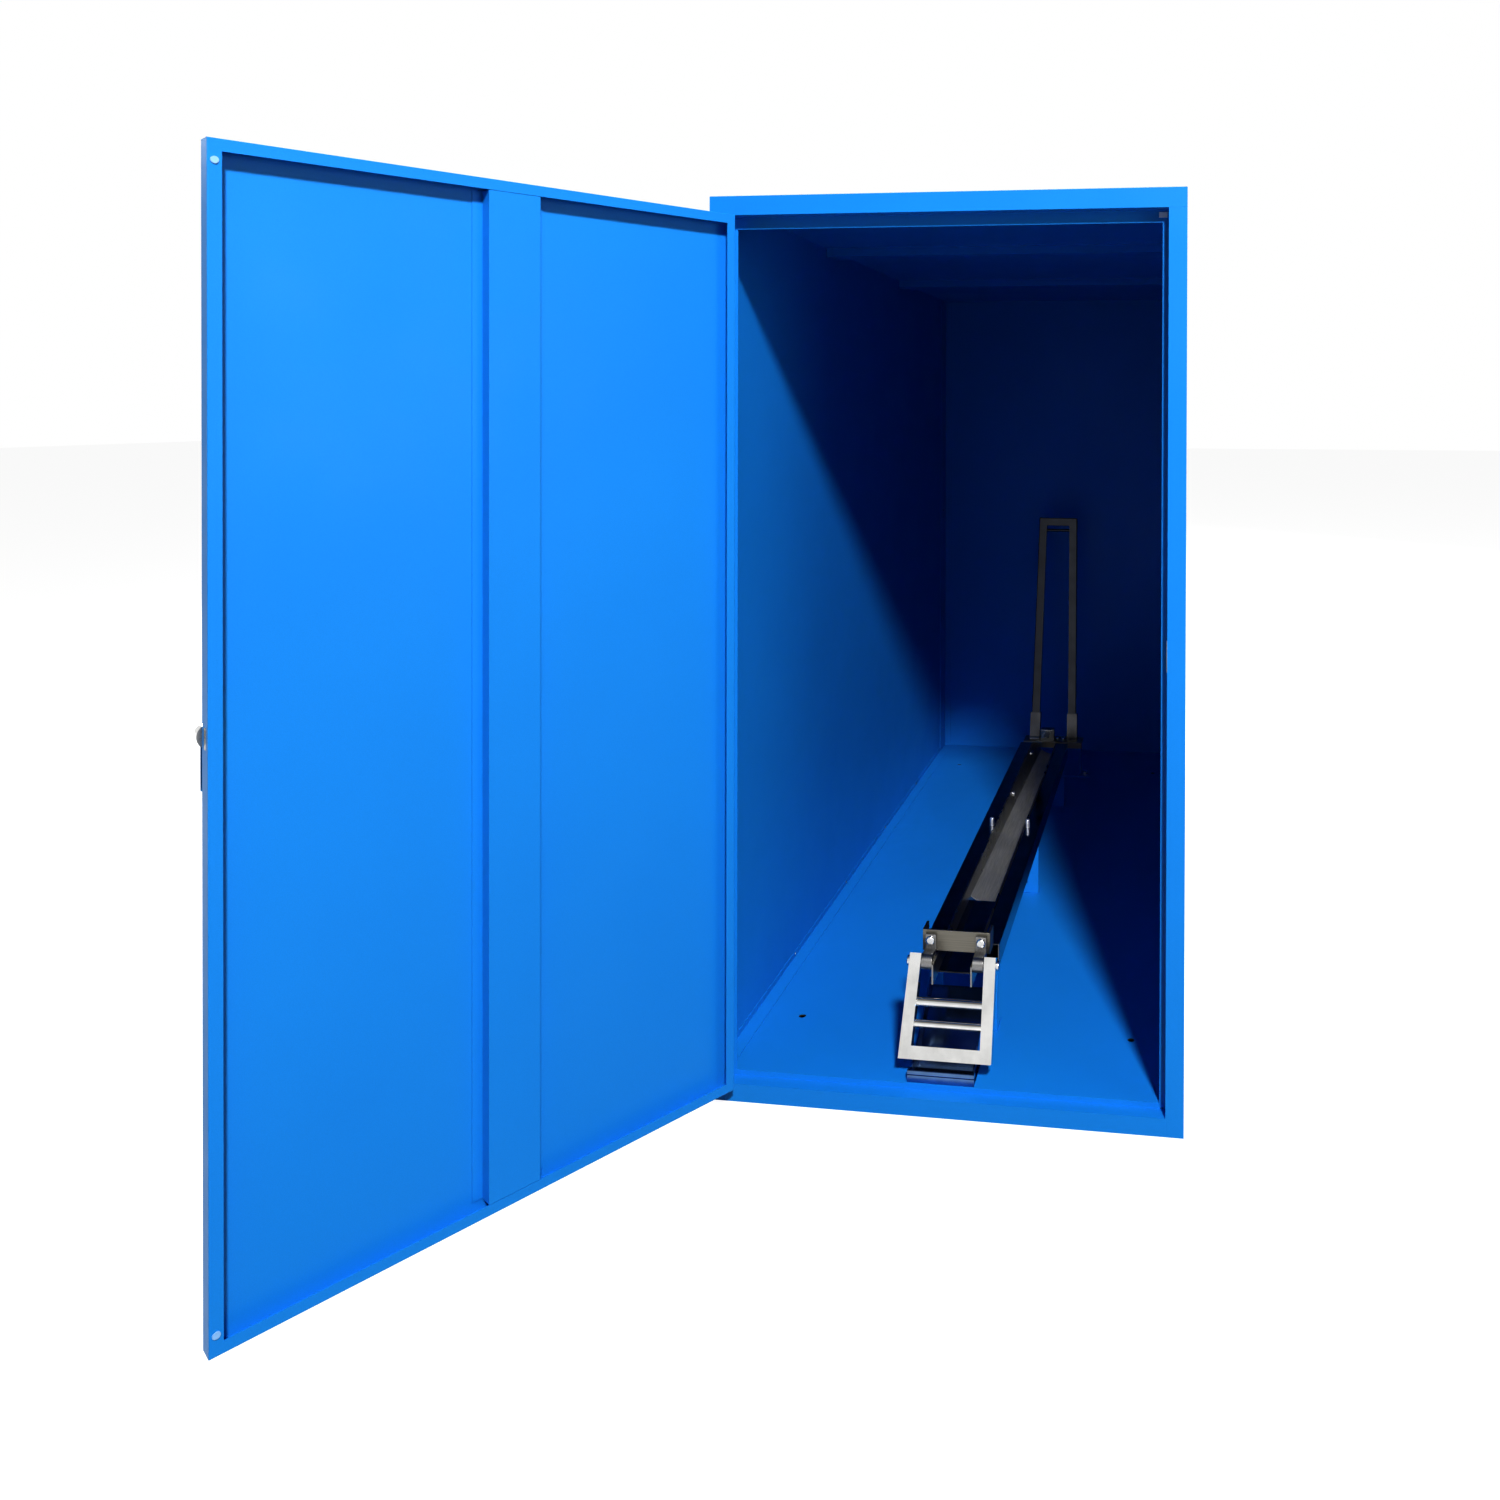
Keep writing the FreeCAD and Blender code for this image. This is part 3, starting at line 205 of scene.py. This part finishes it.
LOOKS = {
    blue: ("left_side_panel", "right_side_panel", "back_panel", "roof_cap", "left_jamb", "right_jamb",
           "header_rail", "sill", "floor_pan", "floor_angles", "rear_angles", "roof_bows",
           "hinge_frame_leaves", "door_panel", "door_stiffener", "hinge_door_leaves",
           "front_trestle", "middle_trestle", "rear_trestle", "hoop_stand"),
    steel_along_y: ("left_slide_bar", "right_slide_bar", "left_handle_bracket", "right_handle_bracket",
                    "lock_case"),
    steel_along_x: ("strike_plate", "hinge_pins", "lock_escutcheon", "lock_bolt", "carriage_ties",
                    "wheel_stop"),
    socket_steel: ("hoop_sockets",),
    plate_steel: ("cross_plate", "hoop_plate"),
    # rail_foot and front_brace get polished steel with a painted blue reflection and painted shade.
    foot_steel_painted_reflection_and_shade: ("rail_foot", "front_brace"),
    # The guide rails are darkened as painted shade, and channel_floor is a dark sheet standing in for the
    # shade between the rails.
    rail_steel_painted_shade: ("left_guide_rail", "right_guide_rail", "channel_floor"),
    # wheel_hoop and hoop_cross_rod get polished steel darkened as painted shade.
    hoop_steel_painted_shade: ("wheel_hoop", "hoop_cross_rod"),
    chrome: ("handle_frame", "handle_rungs", "lock_handle"),
    zinc: ("panel_rivets", "floor_bolts", "pivot_bolts", "plate_bolts", "axle_pins", "hoop_bolts"),
    stud_steel: ("guide_studs",),
    tray_steel: ("wheel_tray",),
    runner_paint: ("floor_runners",),
    nylon: ("header_buffer", "front_left_roller", "front_right_roller", "rear_left_roller",
            "rear_right_roller"),
    clear_plastic: ("door_buffers",),
    brass: ("lock_plug",),
}
LOOK_OF = {node: look for look, nodes in LOOKS.items() for node in nodes}


# ---- pieces made from the CAD shapes --------------------------------------------------------
MERGE_DISTANCE = 0.000005
FLAT_ANGLE = math.radians(0.6)     # facets closer than this are one flat face
CORNER_ANGLE = math.radians(40)    # edges sharper than this are rounded
SMOOTH_ANGLE = math.radians(36)    # faces closer than this are shaded as one
FOLD_BREADTH = 0.0045              # an edge between faces broader than this is a fold


def breadth(face):
    """How wide a face is across its longest edge."""
    return face.calc_area() / max(edge.calc_length() for edge in face.edges)


def rounded_off(bm, layer, edges, radius, segments):
    """Rounds edges and marks the faces that this makes."""
    made = bmesh.ops.bevel(bm, geom=edges, offset=radius, segments=segments, profile=0.5,
                           affect="EDGES", clamp_overlap=True)
    for face in made["faces"]:
        face[layer] = 1


def flat_normals(bm, layer):
    """A normal per corner: flat faces keep theirs, and the rounded edges run into them."""
    limit = math.cos(SMOOTH_ANGLE)
    weight = {face: face.calc_area() * (0.001 if face[layer] else 1.0) for face in bm.faces}
    normals = []
    for face in bm.faces:
        for loop in face.loops:
            total = Vector((0.0, 0.0, 0.0))
            for other in loop.vert.link_faces:
                if other.normal.dot(face.normal) > limit:
                    total += other.normal * weight[other]
            normals.append(total.normalized() if total.length > 0.0 else face.normal.copy())
    return normals


def softened(node, fold, cut, segments):
    """A copy of a CAD node with its folds rounded and its cut edges eased, in its place."""
    mesh = NODES[node].data.copy()
    bm = bmesh.new()
    bm.from_mesh(mesh)
    bmesh.ops.remove_doubles(bm, verts=bm.verts, dist=MERGE_DISTANCE)
    bmesh.ops.dissolve_limit(bm, angle_limit=FLAT_ANGLE, verts=bm.verts, edges=bm.edges)
    layer = bm.faces.layers.int.new("rounded")
    folds = []
    cuts = []
    for edge in bm.edges:
        if len(edge.link_faces) != 2 or not edge.is_convex:
            continue
        if edge.calc_face_angle(0.0) < CORNER_ANGLE:
            continue
        kind = folds if min(breadth(face) for face in edge.link_faces) > FOLD_BREADTH else cuts
        kind.append(edge)
    rounded_off(bm, layer, cuts, cut, 2)
    rounded_off(bm, layer, [edge for edge in folds if edge.is_valid], fold, segments)
    bm.normal_update()
    normals = flat_normals(bm, layer)
    bm.to_mesh(mesh)
    bm.free()
    mesh.shade_smooth()
    mesh.normals_split_custom_set(normals)
    piece = bpy.data.objects.new(node + "_piece", mesh)
    SCENE.collection.objects.link(piece)
    mesh.materials.clear()
    mesh.materials.append(LOOK_OF[node])
    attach(piece, BODY_OF[node])
    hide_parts(node)


for name, node in NODES.items():
    for index in range(max(1, len(node.data.materials))):
        if index < len(node.data.materials):
            node.data.materials[index] = LOOK_OF[name]
        else:
            node.data.materials.append(LOOK_OF[name])

SHEET_METAL = ("left_side_panel", "right_side_panel", "back_panel", "roof_cap", "left_jamb", "right_jamb",
               "header_rail", "sill", "floor_pan", "floor_angles", "rear_angles", "roof_bows",
               "door_panel", "door_stiffener")
TRESTLES = ("front_trestle", "middle_trestle", "rear_trestle")
PLATE_WORK = ("left_slide_bar", "right_slide_bar", "left_handle_bracket", "right_handle_bracket",
              "cross_plate", *TRESTLES, "hoop_stand", "hoop_plate", "rail_foot", "front_brace",
              "hoop_sockets", "lock_case")
GUIDE_RAILS = ("left_guide_rail", "right_guide_rail")
TUBES = ("wheel_hoop", "handle_frame")
ROUNDING = (    # nodes, fold radius, cut-edge radius, segments in a fold
    (SHEET_METAL, 0.0012, 0.0003, 3),
    (PLATE_WORK, 0.0010, 0.0004, 3),
    (GUIDE_RAILS, 0.0018, 0.0004, 3),
    (TUBES, 0.0022, 0.0004, 4),
)
for names, fold_radius, cut_radius, fold_segments in ROUNDING:
    for name in names:
        softened(name, fold_radius, cut_radius, fold_segments)


# ---- weld beads -----------------------------------------------------------------------------
BEAD_RADIUS = 0.0016
BEAD_SIDES = 10
BEAD_RIPPLE = 0.16       # the rings swell and shrink by this share
BEAD_END = 0.35          # the end rings' share of the radius
BEAD_OUT = 0.0045        # from the upright's front face and from the floor pan to the bead
BEAD_SHORT = 0.001       # the bead stops this far from the upright's edges
TRESTLE_LEG = 0.025      # width of a trestle's upright


def extreme(node, pick):
    """The lowest or highest x, y and z of a CAD node, as pick is min or max."""
    places = [node.matrix_world @ vertex.co for vertex in node.data.vertices]
    return Vector([pick(place[axis] for place in places) for axis in range(3)])


def weld_bead(name, node, start, end):
    """A painted weld bead along a line: a thin tube with the ripple of its passes."""
    length = (end - start).length
    along = (end - start) / length
    side = along.orthogonal().normalized()
    other = along.cross(side)
    steps = max(8, int(length / (BEAD_RADIUS * 1.1)))
    angles = [2 * math.pi * turn / BEAD_SIDES for turn in range(BEAD_SIDES)]
    rings = []
    bm = bmesh.new()
    for step in range(steps + 1):
        radius = BEAD_RADIUS * (1.0 + BEAD_RIPPLE * math.cos(step * math.pi))
        if step in (0, steps):
            radius = BEAD_RADIUS * BEAD_END
        centre = start + along * (length * step / steps)
        ring = [centre + (side * math.cos(angle) + other * math.sin(angle)) * radius for angle in angles]
        rings.append([bm.verts.new(place) for place in ring])
    for first, second in zip(rings, rings[1:]):
        for turn in range(BEAD_SIDES):
            after = (turn + 1) % BEAD_SIDES
            bm.faces.new((first[turn], first[after], second[after], second[turn]))
    bm.faces.new(list(reversed(rings[0])))
    bm.faces.new(rings[-1])
    mesh = bpy.data.meshes.new(name)
    bm.to_mesh(mesh)
    bm.free()
    mesh.shade_smooth()
    bead = bpy.data.objects.new(name, mesh)
    SCENE.collection.objects.link(bead)
    mesh.materials.append(LOOK_OF[node])
    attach(bead, BODY_OF[node])


for side, side_name in ((-1, "left"), (1, "right")):
    for trestle in TRESTLES:
        low = extreme(NODES[trestle], min)
        middle = side * (extreme(NODES[trestle], max).x - TRESTLE_LEG / 2)
        reach = TRESTLE_LEG / 2 - BEAD_SHORT
        start = Vector((middle - reach, low.y + BEAD_OUT, low.z + BEAD_OUT))
        end = Vector((middle + reach, low.y + BEAD_OUT, low.z + BEAD_OUT))
        weld_bead(f"{trestle}_{side_name}_bead", trestle, start, end)

# ---- stage, lights, camera ------------------------------------------------------------------
FLOOR_SIDE = 60.0
FLOOR_GLOW = 0.95         # how bright the floor looks before any light falls on it
AMBIENT = 0.04            # strength of the surroundings as diffuse light
HORIZON = (0.42, 1.0)     # height on the unit sphere, and brightness in view there
ZENITH = (0.85, 0.25)
CAMERA_PLACE = Vector((0.3856, -2.7864, 1.1535))
CAMERA_YAW, CAMERA_PITCH, CAMERA_ROLL = (math.radians(angle) for angle in (-7.358, -0.399, 0.189))


def seen_directly(tree):
    """1 for rays from the camera or off a shiny piece, 0 for diffuse light."""
    ray = tree.nodes.new("ShaderNodeLightPath")
    either = tree.nodes.new("ShaderNodeMath")
    either.operation = "MAXIMUM"
    tree.links.new(ray.outputs["Is Camera Ray"], either.inputs[0])
    tree.links.new(ray.outputs["Is Glossy Ray"], either.inputs[1])
    return either.outputs["Value"]


def stage_floor():
    bpy.ops.mesh.primitive_plane_add(size=FLOOR_SIDE, location=(0.0, 0.0, 0.0))
    floor = bpy.context.object
    floor.name = "stage_floor"
    made = Shader("stage_floor")
    made.set(Base_Color=(0.22, 0.22, 0.22, 1.0), Roughness=0.9, Specular_IOR_Level=0.0)
    glow = made.node("ShaderNodeEmission")
    glow.inputs["Color"].default_value = (1.0, 1.0, 1.0, 1.0)
    made.link(made.spread(seen_directly(made.tree), 0.0, FLOOR_GLOW), glow.inputs["Strength"])
    both = made.node("ShaderNodeAddShader")
    made.link(made.bsdf.outputs["BSDF"], both.inputs[0])
    made.link(glow.outputs["Emission"], both.inputs[1])
    made.link(both.outputs["Shader"], made.tree.nodes["Material Output"].inputs["Surface"])
    floor.data.materials.append(made.material)


def area_light(name, place, aim, size, watts):
    data = bpy.data.lights.new(name, "AREA")
    data.shape = "DISK"
    data.size = size
    data.energy = watts
    light = bpy.data.objects.new(name, data)
    light.location = place
    light.rotation_euler = (Vector(aim) - Vector(place)).to_track_quat("-Z", "Y").to_euler()
    SCENE.collection.objects.link(light)


def white_world():
    """White surroundings: seen in full by the camera and in reflections, dimmer as fill light."""
    world = bpy.data.worlds.new("white_world")
    world.use_nodes = True
    tree = world.node_tree
    sky = tree.nodes["Background"]
    sky.inputs["Color"].default_value = (1.0, 1.0, 1.0, 1.0)
    sky.inputs["Strength"].default_value = AMBIENT
    seen = tree.nodes.new("ShaderNodeBackground")
    seen.inputs["Strength"].default_value = 1.0
    place = tree.nodes.new("ShaderNodeTexCoord")
    split = tree.nodes.new("ShaderNodeSeparateXYZ")
    fade = tree.nodes.new("ShaderNodeValToRGB")
    for element, (height, grey) in zip(fade.color_ramp.elements, (HORIZON, ZENITH)):
        element.position = height
        element.color = (grey, grey, grey, 1.0)
    tree.links.new(place.outputs["Generated"], split.inputs["Vector"])
    tree.links.new(split.outputs["Z"], fade.inputs["Fac"])
    tree.links.new(fade.outputs["Color"], seen.inputs["Color"])
    choice = tree.nodes.new("ShaderNodeMixShader")
    tree.links.new(seen_directly(tree), choice.inputs["Fac"])
    tree.links.new(sky.outputs["Background"], choice.inputs[1])
    tree.links.new(seen.outputs["Background"], choice.inputs[2])
    tree.links.new(choice.outputs["Shader"], tree.nodes["World Output"].inputs["Surface"])
    SCENE.world = world


stage_floor()
white_world()
area_light("key", (1.66, -5.1, 4.58), (0.0, -0.5, 0.7), 0.6, 520.0)
area_light("door_fill", (3.1, -2.5, 1.5), (-0.6, -1.4, 0.7), 1.6, 24.0)
area_light("left_fill", (-4.6, 1.6, 3.0), (-0.4, 0.0, 0.7), 2.0, 420.0)
area_light("rear_fill", (3.6, 5.0, 3.0), (0.2, 0.6, 0.7), 2.0, 420.0)

camera_data = bpy.data.cameras.new("camera")
camera_data.sensor_width = 36.0
camera_data.lens = 27.74
camera_data.shift_x = -0.1889
camera_data.shift_y = -0.2234
camera = bpy.data.objects.new("camera", camera_data)
level = Vector((math.cos(CAMERA_YAW), -math.sin(CAMERA_YAW), 0.0))
ahead = Vector((math.sin(CAMERA_YAW), math.cos(CAMERA_YAW), 0.0)) * math.cos(CAMERA_PITCH)
forward = ahead + Vector((0.0, 0.0, math.sin(CAMERA_PITCH)))
upright = level.cross(forward)
right = level * math.cos(CAMERA_ROLL) + upright * math.sin(CAMERA_ROLL)
up = upright * math.cos(CAMERA_ROLL) - level * math.sin(CAMERA_ROLL)
turn = Matrix((right, up, -forward)).transposed()
camera.matrix_world = Matrix.Translation(CAMERA_PLACE) @ turn.to_4x4()
SCENE.collection.objects.link(camera)
SCENE.camera = camera
SCENE.view_settings.view_transform = "Standard"
SCENE.view_settings.gamma = 0.75
